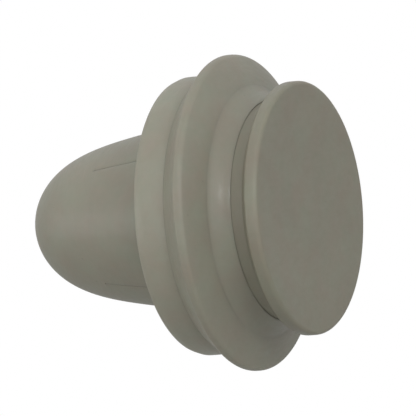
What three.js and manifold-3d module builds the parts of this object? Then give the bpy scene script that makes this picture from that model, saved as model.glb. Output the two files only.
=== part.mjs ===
// Push-in nylon wall anchor with a captive drive pin, in millimetres, +Z up.
//
// The anchor lies along Y. The origin is on its axis in the plane of the wall, which is
// also the plane of the sealing skirt's lip. The head faces the user at -Y and the nose
// points into the wall at +Y.
//
// Pushing the round head drives the pin's four ramps under the four legs, and the legs
// swing outwards on thin webs at the nose.

import * as THREE from 'three';
import { mergeVertices } from 'three/addons/utils/BufferGeometryUtils.js';
import Module from 'manifold-3d';

// Driving dimensions.
const SEGMENTS = 48;            // facets round every turned piece
const JOINT = 0.04;             // gap left where two regions of one moulding meet
const PIN_TRAVEL = 0.7;         // how far the pin is pushed in
const LEG_COUNT = 4;

const HEAD_FACE = -8.2;         // outer face of the head
const HEAD_RADIUS = 8;
const HEAD_THICKNESS = 0.95;
const HEAD_ROUND = 0.3;
const NECK_RADIUS = 6.9;        // the thick neck under the head
const NECK_FLARE = 0.7;         // how far the neck flares out where it meets the head
const NECK_FLARE_LENGTH = 0.6;
const NECK_END = -4.6;
const JOURNAL_RADIUS = 3.5;     // the part of the pin that the hub guides
const STOP_RADIUS = 3.85;
const STOP_START = -2.8;
const STOP_THICKNESS = 0.45;
const SHAFT_RADIUS = 2.3;
const SHAFT_END = 3.8;
const TIP_LENGTH = 1.4;
const TIP_RADIUS = 0.8;

const HUB_FRONT = -5.95;
const HUB_BACK = -2.94;
const HUB_RADIUS = 8;           // the flange starts here
const HUB_EDGE_FRONT = -4.8;
const HUB_SLOPE = 0.5;          // rise of the bell towards the head, and how fast it steepens
const HUB_CURVE = 0.88;
const HUB_RIM_RADIUS = 7.15;
const HUB_RIM_ROUND = 0.08;
const POCKET_BORE = 6.94;       // takes the thick neck
const POCKET_CHAMFER = 0.06;
const POCKET_FLOOR = NECK_END + PIN_TRAVEL + 0.1;
const HUB_BORE = 3.62;
const GUIDE_BORE = 3.95;

const FLANGE_RADIUS = 10;
const FLANGE_EDGE = 0.7;        // height of the flange's rim along Y
const FLANGE_MID = -3.7;        // middle of the rim
const FLANGE_BACK = -2.14;
const FLANGE_BACK_RADIUS = 8.72;

const COLLAR_RADIUS = 5.4;
const COLLAR_END = -0.8;

const SKIRT_RADIUS = 8.82;
const SKIRT_ROOT = -2.9;        // the skirt's web lies behind the hub
const SKIRT_WEB = 1;
const SKIRT_WALL = 0.8;
const LIP_OUTER = 8.4;
const LIP_INNER = 7.75;

const LEG_START = -0.6;
const LEG_END = 4.9;
const LEG_WALL = 1.1;
const SLIT = 0.16;
const PAD_START = 0.3;
const PAD_END = 1.5;
const PAD_RADIUS = 3.2;         // inner face of the pad that a ramp lifts
const PAD_WIDTH = 2.4;

const RAMP_START = -0.7;
const RAMP_END = 1.1;
const RAMP_WIDTH = 1.8;
const RAMP_SLOPE = 0.6;
const RAMP_CLEARANCE = 0.08;    // between a ramp and its pad before the pin is driven

const RIB_THICKNESS = 1.0;
const RIB_INNER = 2.7;
const RIB_OUTER_START = 4.65;
const RIB_OUTER_END = 3.9;

const NOSE_BORE = 2.75;
const NOSE_BORE_END = 7.7;
const NOSE_TIP = 10.77;

// The bullet's outline: its widest radius, its cone, and how late it rounds off.
const BULLET_RADIUS = 5.95;
const BULLET_TAPER = 0.3;
const BULLET_ROUNDING = 5;

const NYLON = { color: 0xcfcdc0, roughness: 0.42, metalness: 0 };

const wasm = await Module();
wasm.setup();

// Radius of the bullet's skin at a station along Y: a slight cone that rounds off at the tip.
function bulletRadius(y) {
  const t = Math.max(0, y) / NOSE_TIP;
  return BULLET_RADIUS * (1 - BULLET_TAPER * t) * Math.sqrt(1 - t ** BULLET_ROUNDING);
}

// Points on an ellipse's arc, in (radius, y), from one angle to another in degrees.
function arc(radius, y, across, along, from, to, steps) {
  const points = [];
  for (let i = 0; i <= steps; i += 1) {
    const angle = THREE.MathUtils.degToRad(from + ((to - from) * i) / steps);
    points.push([radius + across * Math.cos(angle), y + along * Math.sin(angle)]);
  }
  return points;
}

// A solid of revolution about Y. The outline runs up the outside and down the inside.
function turned(outline) {
  const points = outline.map(([radius, y]) => new THREE.Vector2(radius, y));
  return new THREE.LatheGeometry(points, SEGMENTS);
}

// A ring: the same outline, closed on itself.
function turnedRing(outline) {
  return turned([...outline, outline[0]]);
}

// A plate in the YZ plane, given as (y, z) corners, with its thickness along X.
function plate(corners, thickness) {
  const shape = new THREE.Shape(corners.map(([y, z]) => new THREE.Vector2(y, z)));
  const geometry = new THREE.ExtrudeGeometry(shape, { depth: thickness, bevelEnabled: false });
  geometry.translate(0, 0, -thickness / 2);
  // (x, y, z) becomes (z, x, y): the outline's first axis lies along Y, the second along Z.
  const turn = new THREE.Matrix4().set(0, 0, 1, 0, 1, 0, 0, 0, 0, 1, 0, 0, 0, 0, 0, 1);
  return geometry.applyMatrix4(turn);
}

// A straight prism about Y, from its (z, x) section.
function prism(section, start, end) {
  const shape = new THREE.Shape(section.map(([z, x]) => new THREE.Vector2(z, x)));
  const geometry = new THREE.ExtrudeGeometry(shape, { depth: end - start, bevelEnabled: false });
  geometry.translate(0, 0, start);
  // (x, y, z) becomes (y, z, x): the depth lies along Y.
  const turn = new THREE.Matrix4().set(0, 1, 0, 0, 0, 0, 1, 0, 1, 0, 0, 0, 0, 0, 0, 1);
  return geometry.applyMatrix4(turn);
}

function toSolid(geometry) {
  const bare = geometry.index ? geometry.toNonIndexed() : geometry.clone();
  bare.deleteAttribute('normal');
  bare.deleteAttribute('uv');
  const merged = mergeVertices(bare, 1e-5);
  return new wasm.Manifold(new wasm.Mesh({
    numProp: 3,
    vertProperties: new Float32Array(merged.attributes.position.array),
    triVerts: new Uint32Array(merged.index.array),
  }));
}

function toGeometry(solid) {
  const mesh = solid.getMesh();
  const geometry = new THREE.BufferGeometry();
  geometry.setAttribute('position', new THREE.BufferAttribute(mesh.vertProperties, 3));
  geometry.setIndex(new THREE.BufferAttribute(mesh.triVerts, 1));
  geometry.computeVertexNormals();
  return geometry;
}

// The pin: a round head on a thick neck, a journal, a stop ring that keeps it in, and the shaft.

function pinHead() {
  const back = HEAD_FACE + HEAD_THICKNESS;
  const round = HEAD_ROUND;
  const middle = HEAD_RADIUS - round;
  return turned([
    [0, HEAD_FACE],
    ...arc(middle, HEAD_FACE + round, round, round, -90, 0, 4),
    ...arc(middle, back - round, round, round, 0, 90, 4),
    [0, back],
  ]);
}

function pinNeck() {
  const start = HEAD_FACE + HEAD_THICKNESS + JOINT;
  return turned([
    [0, start],
    [NECK_RADIUS + NECK_FLARE, start],
    [NECK_RADIUS, start + NECK_FLARE_LENGTH],
    [NECK_RADIUS, NECK_END],
    [0, NECK_END],
  ]);
}

function pinJournal() {
  const start = NECK_END + JOINT;
  const end = STOP_START - JOINT;
  return turned([[0, start], [JOURNAL_RADIUS, start], [JOURNAL_RADIUS, end], [0, end]]);
}

function pinStopRing() {
  const start = STOP_START;
  const end = start + STOP_THICKNESS;
  return turned([[0, start], [STOP_RADIUS, start], [STOP_RADIUS - 0.2, end], [0, end]]);
}

function pinShaft() {
  const start = STOP_START + STOP_THICKNESS + JOINT;
  return turned([[0, start], [SHAFT_RADIUS, start], [SHAFT_RADIUS, SHAFT_END], [0, SHAFT_END]]);
}

function pinTip() {
  const start = SHAFT_END + JOINT;
  const end = start + TIP_LENGTH;
  return turned([
    [0, start],
    [SHAFT_RADIUS, start],
    [SHAFT_RADIUS, start + 0.3],
    ...arc(TIP_RADIUS - 0.3, end - 0.3, 0.3, 0.3, 20, 90, 3),
    [0, end],
  ]);
}

// A ramp on the shaft, under the leg on +Z: low at the nose end, high at the head end.
function wedgeRamp() {
  const low = PAD_RADIUS - RAMP_CLEARANCE - RAMP_SLOPE * (RAMP_END - PAD_START);
  const high = low + RAMP_SLOPE * (RAMP_END - RAMP_START);
  const foot = SHAFT_RADIUS + JOINT;
  return plate([
    [RAMP_START, foot],
    [RAMP_END + 0.5, foot],
    [RAMP_END, low],
    [RAMP_START, high],
  ], RAMP_WIDTH);
}

// The body: a flange on a bell-shaped hub, a guide collar, the sealing skirt and the sleeve.

// The hub rises towards the head as a shallow bell and ends in a rim round the pin's neck.
function flangeHub() {
  const round = HUB_RIM_ROUND;
  const width = HUB_RADIUS - HUB_RIM_RADIUS;
  const steps = 4;
  const bell = [];
  for (let i = 0; i <= steps; i += 1) {
    const inward = width * (1 - i / steps);
    const rise = HUB_SLOPE * inward + HUB_CURVE * inward ** 2;
    bell.push([HUB_RADIUS - inward, HUB_EDGE_FRONT - rise]);
  }
  return turnedRing([
    [POCKET_BORE, HUB_FRONT + POCKET_CHAMFER],
    [POCKET_BORE + POCKET_CHAMFER, HUB_FRONT],
    ...arc(HUB_RIM_RADIUS - round, HUB_FRONT + round, round, round, -90, -30, 2),
    ...bell,
    [HUB_RADIUS, HUB_BACK],
    [HUB_BORE, HUB_BACK],
    [HUB_BORE, POCKET_FLOOR],
    [POCKET_BORE, POCKET_FLOOR],
  ]);
}

// The flange: a shallow cone in front, a soft rim, and a steep cone behind.
function loadFlange() {
  const inner = HUB_RADIUS + JOINT;
  const half = FLANGE_EDGE / 2;
  return turnedRing([
    [inner, HUB_EDGE_FRONT],
    ...arc(FLANGE_RADIUS - half, FLANGE_MID, half, half, -65, 45, 5),
    [FLANGE_BACK_RADIUS, FLANGE_BACK],
    [inner, FLANGE_BACK],
  ]);
}

function guideCollar() {
  const start = HUB_BACK + JOINT;
  return turnedRing([
    [GUIDE_BORE, start],
    [COLLAR_RADIUS, start],
    [COLLAR_RADIUS, COLLAR_END],
    [GUIDE_BORE, COLLAR_END],
  ]);
}

// A cup that opens towards the wall, with a flat lip that seals on it. Its web is behind the hub.
function sealingSkirt() {
  const inner = COLLAR_RADIUS + JOINT;
  const top = FLANGE_BACK + JOINT;
  const web = SKIRT_ROOT + SKIRT_WEB;
  return turnedRing([
    [inner, SKIRT_ROOT],
    [HUB_RADIUS, SKIRT_ROOT],
    [HUB_RADIUS, top],
    [FLANGE_BACK_RADIUS, top],
    [SKIRT_RADIUS, -0.7],
    [SKIRT_RADIUS - 0.08, -0.3],
    [LIP_OUTER, 0],
    [LIP_INNER, 0],
    [SKIRT_RADIUS - SKIRT_WALL, -0.6],
    [SKIRT_RADIUS - SKIRT_WALL - 0.12, web + 0.4],
    [SKIRT_RADIUS - SKIRT_WALL - 0.52, web],
    [inner, web],
  ]);
}

// A rib in the plane of a slit: it ties the collar to the nose inside the legs.
function coreRib() {
  const start = COLLAR_END + JOINT;
  return plate([
    [start, RIB_INNER],
    [LEG_END, RIB_INNER],
    [LEG_END, RIB_OUTER_END],
    [start, RIB_OUTER_START],
  ], RIB_THICKNESS);
}

// The closed nose, hollow where the pin's tip comes in.
function noseCap() {
  const start = LEG_END + JOINT;
  const steps = 10;
  const skin = [];
  for (let i = 0; i < steps; i += 1) {
    const y = start + (NOSE_TIP - start) * Math.sin((Math.PI / 2) * (i / steps));
    skin.push([bulletRadius(y), y]);
  }
  return turned([
    [0, NOSE_BORE_END],
    [NOSE_BORE, NOSE_BORE_END],
    [NOSE_BORE, start],
    ...skin,
    [0, NOSE_TIP],
  ]);
}

// The leg on +Z: a quarter of the sleeve between two slits, with a pad inside it.
function expansionLeg() {
  const steps = 5;
  const outer = [];
  for (let i = 0; i <= steps; i += 1) {
    const y = LEG_START + ((LEG_END - LEG_START) * i) / steps;
    outer.push([bulletRadius(y), y]);
  }
  const inner = [
    [bulletRadius(LEG_END) - LEG_WALL, LEG_END],
    [bulletRadius(LEG_START) - LEG_WALL, LEG_START],
  ];
  const apex = SLIT / Math.SQRT2;
  const reach = 8;
  const quarter = prism([[apex, 0], [reach, reach - apex], [reach, apex - reach]], -5, 8);
  const seat = PAD_RADIUS + 1.6;
  const pad = plate([
    [PAD_START, PAD_RADIUS],
    [PAD_END, PAD_RADIUS],
    [PAD_END + 0.6, seat],
    [PAD_START - 0.3, seat],
  ], PAD_WIDTH);
  const wall = toSolid(turnedRing([...outer, ...inner])).intersect(toSolid(quarter));
  return toGeometry(wall.add(toSolid(pad)));
}

const part = new THREE.Group();

function addPiece(name, geometry, turnDegrees = 0) {
  const mesh = new THREE.Mesh(geometry, new THREE.MeshStandardMaterial(NYLON));
  mesh.name = name;
  mesh.rotation.y = THREE.MathUtils.degToRad(turnDegrees);
  part.add(mesh);
}

addPiece('pin_head', pinHead());
addPiece('pin_neck', pinNeck());
addPiece('pin_journal', pinJournal());
addPiece('pin_stop_ring', pinStopRing());
addPiece('pin_shaft', pinShaft());
addPiece('pin_tip', pinTip());
addPiece('flange_hub', flangeHub());
addPiece('load_flange', loadFlange());
addPiece('guide_collar', guideCollar());
addPiece('sealing_skirt', sealingSkirt());
addPiece('nose_cap', noseCap());

for (let i = 0; i < LEG_COUNT; i += 1) {
  const angle = (360 * i) / LEG_COUNT;
  addPiece(`wedge_ramp_${i + 1}`, wedgeRamp(), angle);
  addPiece(`expansion_leg_${i + 1}`, expansionLeg(), angle);
  addPiece(`core_rib_${i + 1}`, coreRib(), angle + 180 / LEG_COUNT);
}

export default part;
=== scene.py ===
"""Push-in nylon wall anchor with a drive pin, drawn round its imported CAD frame.

Everything is in metres in the frame's own axes: the anchor lies along Y, its head at -Y and
its nose at +Y, and the plane of the wall is y = 0. Outlines are written in millimetres as
(radius, y) and scaled by MM when a mesh is made.
"""

import math

import bmesh
import bpy
import numpy as np
from mathutils import Matrix, Vector


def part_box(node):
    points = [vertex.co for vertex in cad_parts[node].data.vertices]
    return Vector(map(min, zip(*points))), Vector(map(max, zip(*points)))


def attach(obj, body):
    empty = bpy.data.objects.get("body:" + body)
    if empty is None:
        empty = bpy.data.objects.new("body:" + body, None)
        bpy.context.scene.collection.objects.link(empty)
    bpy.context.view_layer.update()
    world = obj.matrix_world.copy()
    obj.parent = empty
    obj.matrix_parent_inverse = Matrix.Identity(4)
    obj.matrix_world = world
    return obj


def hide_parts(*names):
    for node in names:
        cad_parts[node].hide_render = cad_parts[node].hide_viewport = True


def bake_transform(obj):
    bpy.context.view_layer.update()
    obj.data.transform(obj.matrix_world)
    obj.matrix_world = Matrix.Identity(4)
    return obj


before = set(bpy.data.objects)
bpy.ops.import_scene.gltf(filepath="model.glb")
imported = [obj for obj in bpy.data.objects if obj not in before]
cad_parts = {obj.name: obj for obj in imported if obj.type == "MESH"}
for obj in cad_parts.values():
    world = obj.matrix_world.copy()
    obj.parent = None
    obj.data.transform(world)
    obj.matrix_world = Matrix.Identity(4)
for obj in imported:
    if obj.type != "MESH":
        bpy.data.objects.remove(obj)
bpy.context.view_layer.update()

MM = 0.001
ROUND = 192                      # facets round a turned piece
SHARP = math.radians(32)         # edges sharper than this are drawn as edges
LEGS = 4

# Where the camera stands.
VIEW_TURN = math.radians(64.17)  # between the view and the anchor's axis
VIEW_ROLL = math.radians(4.41)
VIEW_LEAN = math.radians(3.45)   # how far above the nearest leg's middle the camera stands
VIEW_DISTANCE = 0.5
VIEW_LENS = 684
VIEW_STATION = 0.8 * MM          # the point on the axis that the distance is measured to
AIM_RIGHT = 1.62 * MM
AIM_UP = 0.6 * MM


# ---------------------------------------------------------------- places from the frame

def span(node):
    """A node's first and last y and its outer radius, in millimetres."""
    low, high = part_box(node)
    return low.y / MM, high.y / MM, max(abs(low.x), abs(low.z), high.x, high.z) / MM


HEAD_FACE, HEAD_BACK, HEAD_RADIUS = span("pin_head")
_, NECK_END, NECK_RADIUS = span("pin_neck")
_, JOURNAL_END, JOURNAL_RADIUS = span("pin_journal")
STOP_START, STOP_END, STOP_RADIUS = span("pin_stop_ring")
SHAFT_START, SHAFT_END, SHAFT_RADIUS = span("pin_shaft")
TIP_START, TIP_END, _ = span("pin_tip")
HUB_FRONT, HUB_BACK, HUB_RADIUS = span("flange_hub")
_, FLANGE_BACK, FLANGE_RADIUS = span("load_flange")
_, COLLAR_END, COLLAR_RADIUS = span("guide_collar")
SKIRT_ROOT, WALL, SKIRT_RADIUS = span("sealing_skirt")
NOSE_START, NOSE_TIP, _ = span("nose_cap")
LEG_START, LEG_END, _ = span("expansion_leg_1")
RAMP_START, RAMP_END, RAMP_TOP = span("wedge_ramp_1")

# The pin, in millimetres.
HEAD_FLAT = 7                    # the head's faces are drawn plain up to this radius
HEAD_FACE_ROUND = 0.28
HEAD_BACK_ROUND = 0.25
HEAD_DISH = 0.05                 # how far the head's middle has sunk
HEAD_WARP = 0.012
NECK_POST = 6.93                 # the neck's radius below its flare
OVERLAP = 0.02                   # how far one region runs into the next
TIP_RADIUS = 0.8
RAMP_SLOPE = 0.6
RAMP_WIDTH = 1.8
RAMP_TAIL = 0.5                  # the ramp falls away over this much of its nose end
BLOCK_EDGE = 0.07

# The hub and its pocket for the pin.
HUB_SLOPE = 0.5                  # rise of the bell towards the head, and how fast it steepens
HUB_CURVE = 0.62
HUB_EDGE_FRONT = -4.8
HUB_RIM_RADIUS = 7.0
HUB_STEPS = 12
POCKET_BORE = 6.94
POCKET_FLOOR = -3.8
HUB_BORE = 3.62
GUIDE_BORE = 3.95

# The flange and the skirt.
FLANGE_SLOPE = 0.43              # fall of the flange's front from the bell outwards
FLANGE_FRONT_EDGE = -3.94
FLANGE_BACK_EDGE = -3.45
FLANGE_LEAN = 0.15
FLANGE_WARP = 0.02
CREASE_RADIUS = 8.72             # where the flange's back meets the skirt
SKIRT_TUCK = 0.04                # the skirt runs this far into the flange
SKIRT_WALL = 0.8
SKIRT_WEB_BACK = -1.9
SKIRT_BULGE_AT = -0.9            # the skirt's outside is widest here
SKIRT_WAVE = 0.015
SKIRT_WAVE_FROM = 7              # the wave grows outwards from this radius
LIP_OUTER = 8.62
LIP_INNER = 7.75

# The sleeve: ribs, legs and nose.
RIB_THICKNESS = 1.0
RIB_INNER = 2.7
RIB_OUTER_START = 4.65
RIB_OUTER_END = 3.9
NOSE_BORE = 2.75
NOSE_BORE_END = 7.7
NOSE_STEPS = 40
BULLET_RADIUS = 5.95
BULLET_TAPER = 0.3
BULLET_ROUNDING = 5
LEG_WALL = 1.1
LEG_EDGE = 0.03                  # rounding of a leg's long edges
LEG_COLUMNS = 30                 # half of the columns across a leg
LEG_ROWS = 44
PAD_FACE = 3.2                   # flat inner face of the pad that a ramp lifts
SLIT = 0.03


def bullet_radius(y):
    """The sleeve and nose: a slight cone that rounds off at the tip."""
    t = max(0.0, y) / NOSE_TIP
    return BULLET_RADIUS * (1 - BULLET_TAPER * t) * math.sqrt(max(0.0, 1 - t ** BULLET_ROUNDING))


# ---------------------------------------------------------------- outlines and meshes

def rounded(corners, closed=False, steps=6):
    """An outline with each corner (radius, y, fillet) rounded by an arc of its fillet's radius."""
    points = []
    count = len(corners)
    for i, (radius, y, fillet) in enumerate(corners):
        here = Vector((radius, y))
        if fillet == 0 or (not closed and i in (0, count - 1)):
            points.append(tuple(here))
            continue
        before = (Vector(corners[i - 1][:2]) - here).normalized()
        after = (Vector(corners[(i + 1) % count][:2]) - here).normalized()
        half = before.angle(after) / 2
        reach = fillet / math.tan(half)
        centre = here + (before + after).normalized() * (fillet / math.sin(half))
        start = here + before * reach - centre
        sweep = start.angle_signed(here + after * reach - centre)
        for k in range(steps + 1):
            turn = Matrix.Rotation(-sweep * k / steps, 2)
            points.append(tuple(centre + turn @ start))
    return points


def finish_mesh(name, bm):
    """Closes off a bmesh as an object with smooth faces and crisp edges."""
    bmesh.ops.remove_doubles(bm, verts=bm.verts, dist=1e-7)
    bmesh.ops.recalc_face_normals(bm, faces=bm.faces)
    for face in bm.faces:
        face.smooth = True
    for edge in bm.edges:
        edge.smooth = edge.is_manifold and edge.calc_face_angle(0) < SHARP
    mesh = bpy.data.meshes.new(name)
    bm.to_mesh(mesh)
    bm.free()
    piece = bpy.data.objects.new(name, mesh)
    bpy.context.scene.collection.objects.link(piece)
    return piece


def turned(name, outline, wave=None):
    """A solid of revolution about Y. wave(radius, angle) is an extra shift along y."""
    bm = bmesh.new()
    rings = []
    for radius, y in outline:
        if radius < 1e-6:
            rings.append([bm.verts.new((0, y * MM, 0))])
            continue
        ring = []
        for k in range(ROUND):
            angle = math.tau * k / ROUND
            shift = wave(radius, angle) if wave else 0
            place = (radius * math.sin(angle), y + shift, radius * math.cos(angle))
            ring.append(bm.verts.new(Vector(place) * MM))
        rings.append(ring)
    pairs = list(zip(rings, rings[1:]))
    if len(rings[0]) > 1:
        pairs.append((rings[-1], rings[0]))
    for low, high in pairs:
        for k in range(ROUND):
            n = (k + 1) % ROUND
            lower = [low[k % len(low)], low[n % len(low)]]
            upper = [high[n % len(high)], high[k % len(high)]]
            # Where a ring is one point, its repeats drop out and the face is a triangle.
            bm.faces.new(dict.fromkeys(lower + upper))
    return finish_mesh(name, bm)


def block(name, corners, width, angle):
    """A plate with (y, radius) corners and rounded edges, standing on the axis at an angle."""
    bm = bmesh.new()
    sides = []
    for x in (-width / 2, width / 2):
        sides.append([bm.verts.new(Vector((x, y, radius)) * MM) for y, radius in corners])
    bm.faces.new(sides[0])
    bm.faces.new(reversed(sides[1]))
    for k in range(len(corners)):
        n = (k + 1) % len(corners)
        bm.faces.new([sides[0][k], sides[1][k], sides[1][n], sides[0][n]])
    bmesh.ops.recalc_face_normals(bm, faces=bm.faces)
    bmesh.ops.bevel(
        bm, geom=list(bm.edges), offset=BLOCK_EDGE * MM, offset_type="OFFSET",
        segments=3, profile=0.5, affect="EDGES",
    )
    bmesh.ops.rotate(bm, verts=bm.verts, matrix=Matrix.Rotation(angle, 3, "Y"))
    return finish_mesh(name, bm)


# ---------------------------------------------------------------- the drive pin

def sink(radius, angle):
    """The faint dish and warp that a moulded disc cools with."""
    dish = HEAD_DISH * (1 - (radius / HEAD_RADIUS) ** 2)
    return dish + HEAD_WARP * math.cos(2 * angle + 0.6) * (radius / HEAD_RADIUS) ** 2


def pin_head():
    """A plain disc with soft edges."""
    face = [(r, HEAD_FACE, 0) for r in (0, 1.5, 3, 4.5, 6, HEAD_FLAT)]
    back = [(r, HEAD_BACK, 0) for r in (HEAD_FLAT, 6, 4.5, 3, 0)]
    rim = [
        (HEAD_RADIUS, HEAD_FACE, HEAD_FACE_ROUND),
        (HEAD_RADIUS, HEAD_BACK, HEAD_BACK_ROUND),
    ]
    return turned("pin_head_disc", rounded([*face, *rim, *back]), sink)


def pin_neck():
    """A thick post that flares into the back of the head."""
    outline = rounded([
        (0, HEAD_BACK - OVERLAP, 0),
        (NECK_RADIUS + 0.2, HEAD_BACK - OVERLAP, 0),
        (NECK_RADIUS + 0.15, HEAD_BACK + 0.03, 0),
        (NECK_RADIUS - 0.25, HEAD_BACK + 0.2, 0.2),
        (NECK_POST, HEAD_BACK + 0.5, 0.2),
        (NECK_POST, NECK_END, 0.1),
        (0, NECK_END, 0),
    ])
    return turned("pin_neck_post", outline)


def pin_journal():
    """The part of the pin that runs in the bore of the hub."""
    outline = rounded([
        (0, NECK_END, 0),
        (JOURNAL_RADIUS + 0.06, NECK_END, 0),
        (JOURNAL_RADIUS, NECK_END + 0.2, 0.1),
        (JOURNAL_RADIUS, JOURNAL_END, 0.04),
        (0, JOURNAL_END, 0),
    ])
    return turned("pin_journal_barrel", outline)


def pin_stop_ring():
    """The collar that keeps the pin from coming out."""
    outline = rounded([
        (0, STOP_START, 0),
        (STOP_RADIUS, STOP_START, 0.1),
        (STOP_RADIUS - 0.2, STOP_END, 0.1),
        (0, STOP_END, 0),
    ])
    return turned("pin_stop_collar", outline)


def pin_shaft():
    """The plain rod down the middle of the sleeve."""
    outline = rounded([
        (0, SHAFT_START, 0),
        (SHAFT_RADIUS, SHAFT_START, 0.05),
        (SHAFT_RADIUS, SHAFT_END, 0.02),
        (0, SHAFT_END, 0),
    ])
    return turned("pin_shaft_rod", outline)


def pin_tip():
    """The blunt cone at the end of the shaft."""
    outline = rounded([
        (0, TIP_START, 0),
        (SHAFT_RADIUS, TIP_START, 0.02),
        (SHAFT_RADIUS, TIP_START + 0.3, 0.3),
        (TIP_RADIUS, TIP_END, 0.3),
        (0, TIP_END, 0),
    ])
    return turned("pin_point", outline)


def wedge_ramp(number, angle):
    """A ramp on the shaft: low at the nose end, high at the head end."""
    foot = SHAFT_RADIUS - 0.15
    low = RAMP_TOP - RAMP_SLOPE * (RAMP_END - RAMP_TAIL - RAMP_START)
    corners = [
        (RAMP_START, foot),
        (RAMP_END, foot),
        (RAMP_END - RAMP_TAIL, low),
        (RAMP_START, RAMP_TOP),
    ]
    return block(f"pin_ramp_{number}", corners, RAMP_WIDTH, angle)


# ---------------------------------------------------------------- the anchor's body

def flare(radius):
    """Front of the hub: a bell that rises from the flange and steepens towards the head."""
    inward = HUB_RADIUS - radius
    return HUB_EDGE_FRONT - HUB_SLOPE * inward - HUB_CURVE * inward ** 2


def flange_hub():
    """The bell, with a pocket for the neck and a bore for the journal."""
    bell = [(r, flare(r), 0) for r in np.linspace(HUB_RIM_RADIUS, HUB_RADIUS, HUB_STEPS)]
    outline = rounded([
        (POCKET_BORE, HUB_FRONT + 0.02, 0),
        (HUB_RIM_RADIUS - 0.03, HUB_FRONT, 0),
        *bell,
        (HUB_RADIUS, HUB_BACK, 0),
        (HUB_BORE, HUB_BACK, 0.05),
        (HUB_BORE, POCKET_FLOOR, 0.05),
        (POCKET_BORE, POCKET_FLOOR, 0.1),
    ], closed=True)
    return turned("flange_bell", outline)


def lean(radius, angle):
    """The flange's rim stands a little out of square, as it came from the mould."""
    reach = (max(0.0, radius - CREASE_RADIUS) / (FLANGE_RADIUS - CREASE_RADIUS)) ** 2
    return reach * (FLANGE_LEAN * math.cos(angle) + FLANGE_WARP * math.cos(3 * angle + 1))


def load_flange():
    """A shallow cone in front, a soft rim, and a steep cone behind."""
    front = [
        (r, HUB_EDGE_FRONT + FLANGE_SLOPE * (r - HUB_RADIUS), 0)
        for r in (8.4, 8.8, 9.2)
    ]
    outline = rounded([
        (HUB_RADIUS, HUB_EDGE_FRONT, 0),
        *front,
        (FLANGE_RADIUS, FLANGE_FRONT_EDGE, 0.35),
        (FLANGE_RADIUS, FLANGE_BACK_EDGE, 0.25),
        (9.4, -2.89, 0),
        (CREASE_RADIUS, FLANGE_BACK, 0),
        (HUB_RADIUS, FLANGE_BACK, 0),
    ], closed=True)
    return turned("flange_rim", outline, lean)


def guide_collar():
    """The tube behind the hub that the stop ring runs in."""
    outline = rounded([
        (GUIDE_BORE, HUB_BACK, 0),
        (COLLAR_RADIUS, HUB_BACK, 0),
        (COLLAR_RADIUS, COLLAR_END, 0.15),
        (GUIDE_BORE, COLLAR_END, 0.1),
    ], closed=True)
    return turned("guide_tube", outline)


def skirt_wave(radius, angle):
    """The skirt's lip is thin enough to have set slightly wavy."""
    reach = max(0.0, radius - SKIRT_WAVE_FROM) / (SKIRT_RADIUS - SKIRT_WAVE_FROM)
    return SKIRT_WAVE * reach * math.cos(3 * angle + 0.4)


def sealing_skirt():
    """A cup that opens towards the wall, with a rounded lip; its web lies behind the hub."""
    barrel = [
        (SKIRT_RADIUS - 0.05 * ((y - SKIRT_BULGE_AT) / 1.2) ** 2, y, 0)
        for y in (-1.9, -1.5, -1.1, -0.8, -0.55)
    ]
    outline = rounded([
        (COLLAR_RADIUS, SKIRT_ROOT, 0),
        (HUB_RADIUS, SKIRT_ROOT, 0),
        (HUB_RADIUS, FLANGE_BACK - SKIRT_TUCK, 0),
        (CREASE_RADIUS, FLANGE_BACK - SKIRT_TUCK, 0),
        *barrel,
        (LIP_OUTER, WALL, 0.28),
        (LIP_INNER, WALL, 0.2),
        (SKIRT_RADIUS - SKIRT_WALL, -0.7, 0.3),
        (7.9, SKIRT_WEB_BACK, 0.45),
        (COLLAR_RADIUS, SKIRT_WEB_BACK, 0),
    ], closed=True)
    return turned("seal_skirt", outline, skirt_wave)


def core_rib(number, angle):
    """A rib in the plane of a slit: it ties the collar to the nose inside the legs."""
    corners = [
        (COLLAR_END - OVERLAP, RIB_INNER),
        (NOSE_START, RIB_INNER),
        (NOSE_START, RIB_OUTER_END),
        (COLLAR_END - OVERLAP, RIB_OUTER_START),
    ]
    return block(f"rib_{number}", corners, RIB_THICKNESS, angle)


def nose_cap():
    """The closed nose, hollow where the pin's tip comes in."""
    skin = []
    for k in range(NOSE_STEPS):
        y = LEG_END + (NOSE_TIP - LEG_END) * math.sin(math.pi / 2 * k / NOSE_STEPS)
        skin.append((bullet_radius(y), y))
    bore = rounded([
        (0, NOSE_BORE_END, 0),
        (NOSE_BORE, NOSE_BORE_END, 0.3),
        (NOSE_BORE, LEG_END, 0),
    ])
    return turned("nose_dome", [*bore, *skin, (0, NOSE_TIP)])


def smooth_step(value, start, end):
    """Goes smoothly from 0 at start to 1 at end."""
    t = min(1.0, max(0.0, (value - start) / (end - start)))
    return t * t * (3 - 2 * t)


def pad_depth(across, y):
    """How far the pad inside a leg stands in from the wall, at a distance from its middle."""
    wide = 1 - smooth_step(abs(across), 1.0, 1.35)
    long = smooth_step(y, 0.0, 0.35) * (1 - smooth_step(y, 1.5, 2.0))
    return wide * long


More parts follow.
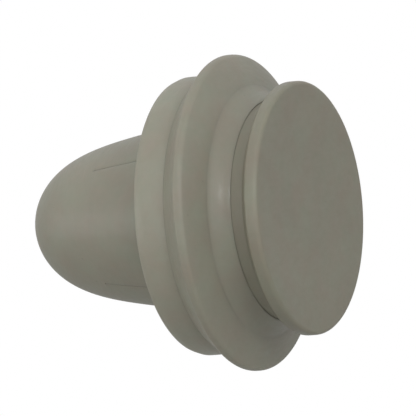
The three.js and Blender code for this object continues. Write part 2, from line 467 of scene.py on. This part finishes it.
def leg_section(y):
    """One section of a leg as two rows of (x, z): the skin, and the inside from side to side."""
    skin = bullet_radius(y)
    inner = (BULLET_RADIUS - LEG_WALL) - (BULLET_RADIUS - bullet_radius(LEG_END)) * (
        (y - LEG_START) / (LEG_END - LEG_START)
    )
    outside, inside = [], []
    for k in range(-LEG_COLUMNS, LEG_COLUMNS + 1):
        share = k / LEG_COLUMNS
        limit = math.pi / 4 - (SLIT / 2) / skin
        angle = share * limit
        # Both long edges of the skin are rounded over the last stretch before the slit.
        near = max(0.0, abs(share) * limit * skin - (limit * skin - LEG_EDGE)) / LEG_EDGE
        radius = skin - LEG_EDGE * (1 - math.sqrt(max(0.0, 1 - near * near)))
        outside.append((radius * math.sin(angle), radius * math.cos(angle)))
        limit = math.pi / 4 - (SLIT / 2) / inner
        angle = share * limit
        depth = pad_depth(inner * math.sin(angle), y)
        radius = inner + (PAD_FACE / max(0.6, math.cos(angle)) - inner) * depth
        inside.append((radius * math.sin(angle), radius * math.cos(angle)))
    return outside, inside


def expansion_leg(number, angle):
    """A quarter of the sleeve between two slits, with a pad inside for the ramp to lift."""
    bm = bmesh.new()
    turn = Matrix.Rotation(angle, 3, "Y")
    loops = []
    for row in range(LEG_ROWS + 1):
        y = LEG_START + (LEG_END - LEG_START) * row / LEG_ROWS
        outside, inside = leg_section(y)
        loop = outside + inside[::-1]
        loops.append([bm.verts.new(turn @ (Vector((x, y, z)) * MM)) for x, z in loop])
    count = len(loops[0])
    for low, high in zip(loops, loops[1:]):
        for k in range(count):
            n = (k + 1) % count
            bm.faces.new([low[k], low[n], high[n], high[k]])
    for loop in (loops[0], loops[-1]):
        for k in range(count // 2 - 1):
            bm.faces.new([loop[k], loop[k + 1], loop[count - 2 - k], loop[count - 1 - k]])
    return finish_mesh(f"leg_{number}_shell", bm)


# ---------------------------------------------------------------- materials

def node(tree, kind, **inputs):
    """A shader node; keywords are sockets (with spaces as underscores) or node properties."""
    made = tree.nodes.new(kind)
    for key, value in inputs.items():
        if hasattr(made, key):
            setattr(made, key, value)
            continue
        socket = made.inputs[key.replace("_", " ")]
        if isinstance(value, bpy.types.NodeSocket):
            tree.links.new(value, socket)
        else:
            socket.default_value = value
    return made


def ramp(tree, factor, low, high):
    """Spreads the middle of a noise factor's range over low to high."""
    made = node(tree, "ShaderNodeMapRange", Value=factor)
    made.inputs["From Min"].default_value = 0.3
    made.inputs["From Max"].default_value = 0.7
    made.inputs["To Min"].default_value = low
    made.inputs["To Max"].default_value = high
    return made.outputs["Result"]


def maths(tree, operation, a, b):
    """A maths node's result, from sockets or plain numbers."""
    made = tree.nodes.new("ShaderNodeMath")
    made.operation = operation
    for socket, value in zip(made.inputs, (a, b)):
        if isinstance(value, bpy.types.NodeSocket):
            tree.links.new(value, socket)
        else:
            socket.default_value = value
    return made.outputs[0]


def nylon(name, tint, seed):
    """Natural nylon: milky clouds, a warm and cool cast, a few inclusions, grain and scuffs."""
    material = bpy.data.materials.new(name)
    material.use_nodes = True
    tree = material.node_tree
    tree.nodes.clear()
    coords = tree.nodes.new("ShaderNodeTexCoord").outputs["Object"]
    in_mm = tree.nodes.new("ShaderNodeMapping")
    in_mm.inputs["Scale"].default_value = (1000, 1000, 1000)
    in_mm.inputs["Location"].default_value = (seed * 7.3, seed * 3.1, seed * 5.7)
    tree.links.new(coords, in_mm.inputs["Vector"])
    place = in_mm.outputs["Vector"]

    cloud = node(tree, "ShaderNodeTexNoise", Vector=place, Scale=0.28, Detail=4.0, Roughness=0.55)
    mottle = node(tree, "ShaderNodeTexNoise", Vector=place, Scale=1.9, Detail=3.0, Roughness=0.6)
    grain = node(tree, "ShaderNodeTexNoise", Vector=place, Scale=14.0, Detail=2.0, Roughness=0.5)
    scuffs = tree.nodes.new("ShaderNodeMapping")
    scuffs.inputs["Scale"].default_value = (0.5, 6.0, 1.3)
    scuffs.inputs["Rotation"].default_value = (0.4, 0.2, 0.9)
    tree.links.new(place, scuffs.inputs["Vector"])
    streak = node(
        tree, "ShaderNodeTexNoise", Vector=scuffs.outputs["Vector"], Scale=1.3, Detail=5.0,
        Roughness=0.7,
    )
    speck = node(tree, "ShaderNodeTexVoronoi", Vector=place, Scale=0.75)
    is_speck = maths(tree, "LESS_THAN", speck.outputs["Distance"], 0.045)

    # The wave is about the piece's own axis, so it takes the unshifted coordinates.
    tool = tree.nodes.new("ShaderNodeTexWave")
    tool.wave_type = "RINGS"
    tool.rings_direction = "Y"
    tool.inputs["Scale"].default_value = 900.0
    tool.inputs["Distortion"].default_value = 0.6
    tree.links.new(coords, tool.inputs["Vector"])

    def shade(factor):
        return (*[channel * factor for channel in tint], 1)

    milky = node(tree, "ShaderNodeMix", data_type="RGBA")
    tree.links.new(ramp(tree, cloud.outputs["Fac"], 0, 1), milky.inputs["Factor"])
    milky.inputs["A"].default_value = shade(0.95)
    milky.inputs["B"].default_value = shade(1.05)
    fine = node(tree, "ShaderNodeMix", data_type="RGBA", blend_type="MULTIPLY")
    tree.links.new(ramp(tree, mottle.outputs["Fac"], 0, 1), fine.inputs["Factor"])
    tree.links.new(milky.outputs["Result"], fine.inputs["A"])
    fine.inputs["B"].default_value = (0.97, 0.968, 0.955, 1)
    blush = node(tree, "ShaderNodeTexNoise", Vector=place, Scale=0.55, Detail=3.0, Roughness=0.6)
    cast = node(tree, "ShaderNodeMix", data_type="RGBA")
    tree.links.new(ramp(tree, blush.outputs["Fac"], 0, 1), cast.inputs["Factor"])
    cast.inputs["A"].default_value = (1.05, 0.985, 0.97, 1)
    cast.inputs["B"].default_value = (0.97, 1.015, 0.98, 1)
    toned = node(tree, "ShaderNodeMix", data_type="RGBA", blend_type="MULTIPLY")
    toned.inputs["Factor"].default_value = 1.0
    tree.links.new(fine.outputs["Result"], toned.inputs["A"])
    tree.links.new(cast.outputs["Result"], toned.inputs["B"])
    flecked = node(tree, "ShaderNodeMix", data_type="RGBA")
    tree.links.new(maths(tree, "MULTIPLY", is_speck, 0.2), flecked.inputs["Factor"])
    tree.links.new(toned.outputs["Result"], flecked.inputs["A"])
    flecked.inputs["B"].default_value = shade(0.45)

    height = maths(tree, "MULTIPLY", mottle.outputs["Fac"], 0.5)
    height = maths(tree, "ADD", height, maths(tree, "MULTIPLY", grain.outputs["Fac"], 0.12))
    height = maths(tree, "ADD", height, maths(tree, "MULTIPLY", streak.outputs["Fac"], 0.2))
    height = maths(tree, "ADD", height, maths(tree, "MULTIPLY", tool.outputs["Fac"], 0.03))
    bump = node(tree, "ShaderNodeBump", Height=height, Strength=0.35, Distance=0.00006)

    shader = tree.nodes.new("ShaderNodeBsdfPrincipled")
    tree.links.new(flecked.outputs["Result"], shader.inputs["Base Color"])
    tree.links.new(ramp(tree, streak.outputs["Fac"], 0.4, 0.54), shader.inputs["Roughness"])
    tree.links.new(bump.outputs["Normal"], shader.inputs["Normal"])
    shader.inputs["IOR"].default_value = 1.5
    shader.inputs["Specular IOR Level"].default_value = 0.4
    shader.inputs["Coat Weight"].default_value = 0.25
    shader.inputs["Coat Roughness"].default_value = 0.2
    shader.inputs["Subsurface Weight"].default_value = 0.35
    shader.inputs["Subsurface Radius"].default_value = (1.0, 0.9, 0.7)
    shader.inputs["Subsurface Scale"].default_value = 0.0006
    output = tree.nodes.new("ShaderNodeOutputMaterial")
    tree.links.new(shader.outputs["BSDF"], output.inputs["Surface"])
    return material


PIN_TINT = (0.213, 0.204, 0.16)
BODY_TINT = (0.238, 0.231, 0.186)
SEAL_TINT = (0.265, 0.258, 0.209)


# ---------------------------------------------------------------- put together

def fit(piece, body, cad_node, material):
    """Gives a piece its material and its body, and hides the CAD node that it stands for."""
    piece.data.materials.append(material)
    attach(piece, body)
    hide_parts(cad_node)


def make_pin():
    material = nylon("pin_nylon", PIN_TINT, 1)
    for maker, cad_node in (
        (pin_head, "pin_head"),
        (pin_neck, "pin_neck"),
        (pin_journal, "pin_journal"),
        (pin_stop_ring, "pin_stop_ring"),
        (pin_shaft, "pin_shaft"),
        (pin_tip, "pin_tip"),
    ):
        fit(maker(), "drive_pin", cad_node, material)
    for k in range(LEGS):
        piece = wedge_ramp(k + 1, math.tau * k / LEGS)
        fit(piece, "drive_pin", f"wedge_ramp_{k + 1}", material)


def make_body():
    material = nylon("body_nylon", BODY_TINT, 2)
    for maker, cad_node in (
        (flange_hub, "flange_hub"),
        (load_flange, "load_flange"),
        (guide_collar, "guide_collar"),
        (nose_cap, "nose_cap"),
    ):
        fit(maker(), "anchor_body", cad_node, material)
    for k in range(LEGS):
        piece = core_rib(k + 1, math.tau * (k + 0.5) / LEGS)
        fit(piece, "anchor_body", f"core_rib_{k + 1}", material)
    seal = nylon("seal_nylon", SEAL_TINT, 3)
    fit(sealing_skirt(), "anchor_body", "sealing_skirt", seal)
    return material


def make_legs(material):
    """Makes each leg with the body's material and bakes its place into its mesh; the legs are given
    no body or joint.
    """
    for k in range(LEGS):
        piece = expansion_leg(k + 1, math.tau * k / LEGS)
        piece.data.materials.append(material)
        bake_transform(piece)
        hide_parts(f"expansion_leg_{k + 1}")


# ---------------------------------------------------------------- studio

def make_camera():
    """Stands to the left of the head, almost level with it, and rolled a little."""
    back = Vector((-math.sin(VIEW_TURN), -math.cos(VIEW_TURN), 0))
    across = Vector((math.cos(VIEW_TURN), -math.sin(VIEW_TURN), 0))
    up = Vector((0, 0, 1))
    right = across * math.cos(VIEW_ROLL) - up * math.sin(VIEW_ROLL)
    top = across * math.sin(VIEW_ROLL) + up * math.cos(VIEW_ROLL)
    station = Vector((0, VIEW_STATION, 0))
    place = station + back * VIEW_DISTANCE
    aim = station + right * AIM_RIGHT + top * AIM_UP
    away = (place - aim).normalized()
    side = top.cross(away).normalized()
    turn = Matrix((side, away.cross(side), away)).transposed()
    lean_over = Matrix.Rotation(VIEW_LEAN, 3, "Y")
    data = bpy.data.cameras.new("camera")
    data.lens = VIEW_LENS
    data.sensor_width = 36
    data.clip_start = 0.01
    data.clip_end = 10
    camera = bpy.data.objects.new("camera", data)
    bpy.context.scene.collection.objects.link(camera)
    camera.matrix_world = Matrix.Translation(lean_over @ place) @ (lean_over @ turn).to_4x4()
    bpy.context.scene.camera = camera


def make_light(name, place, size, power):
    """A square lamp that faces the origin and is not seen itself."""
    data = bpy.data.lights.new(name, "AREA")
    data.size = size
    data.energy = power
    light = bpy.data.objects.new(name, data)
    bpy.context.scene.collection.objects.link(light)
    light.location = place
    light.rotation_mode = "QUATERNION"
    light.rotation_quaternion = Vector(place).to_track_quat("Z", "Y")
    light.visible_camera = False


def make_floor():
    """A plain pale floor well below the anchor, which floats above it."""
    bm = bmesh.new()
    bmesh.ops.create_circle(bm, cap_ends=True, segments=96, radius=0.2)
    bmesh.ops.translate(bm, verts=bm.verts, vec=(0, 0, -0.035))
    floor = finish_mesh("floor", bm)
    material = bpy.data.materials.new("floor")
    material.use_nodes = True
    shader = material.node_tree.nodes["Principled BSDF"]
    shader.inputs["Base Color"].default_value = (0.45, 0.45, 0.44, 1)
    shader.inputs["Roughness"].default_value = 0.9
    floor.data.materials.append(material)


def make_world():
    """White to look at, and a soft light that is a little stronger from above."""
    world = bpy.data.worlds.new("studio")
    bpy.context.scene.world = world
    world.use_nodes = True
    tree = world.node_tree
    tree.nodes.clear()
    coords = tree.nodes.new("ShaderNodeTexCoord").outputs["Generated"]
    split = node(tree, "ShaderNodeSeparateXYZ", Vector=coords)
    height = tree.nodes.new("ShaderNodeMapRange")
    tree.links.new(split.outputs["Z"], height.inputs["Value"])
    height.inputs["From Min"].default_value = -1
    height.inputs["From Max"].default_value = 1
    height.inputs["To Min"].default_value = 0.06
    height.inputs["To Max"].default_value = 1.1
    soft = tree.nodes.new("ShaderNodeBackground")
    tree.links.new(height.outputs["Result"], soft.inputs["Strength"])
    white = tree.nodes.new("ShaderNodeBackground")
    white.inputs["Strength"].default_value = 1.0
    white.inputs["Color"].default_value = (1, 1, 1, 1)
    choose = tree.nodes.new("ShaderNodeMixShader")
    tree.links.new(tree.nodes.new("ShaderNodeLightPath").outputs["Is Camera Ray"], choose.inputs[0])
    tree.links.new(soft.outputs[0], choose.inputs[1])
    tree.links.new(white.outputs[0], choose.inputs[2])
    output = tree.nodes.new("ShaderNodeOutputWorld")
    tree.links.new(choose.outputs[0], output.inputs["Surface"])


def make_studio():
    make_world()
    make_floor()
    make_light("key", (-0.36, -0.02, 0.16), 0.45, 0.5)
    make_light("front", (-0.22, -0.42, 0.08), 0.4, 0.6)
    make_light("glint", (-0.28, -0.34, 0.15), 0.06, 0.14)
    make_light("low", (-0.38, 0.02, -0.17), 0.3, 0.6)
    make_light("side", (-0.24, 0.36, -0.05), 0.35, 0.5)
    bpy.context.scene.view_settings.view_transform = "Standard"


make_camera()
make_studio()
make_pin()
make_legs(make_body())
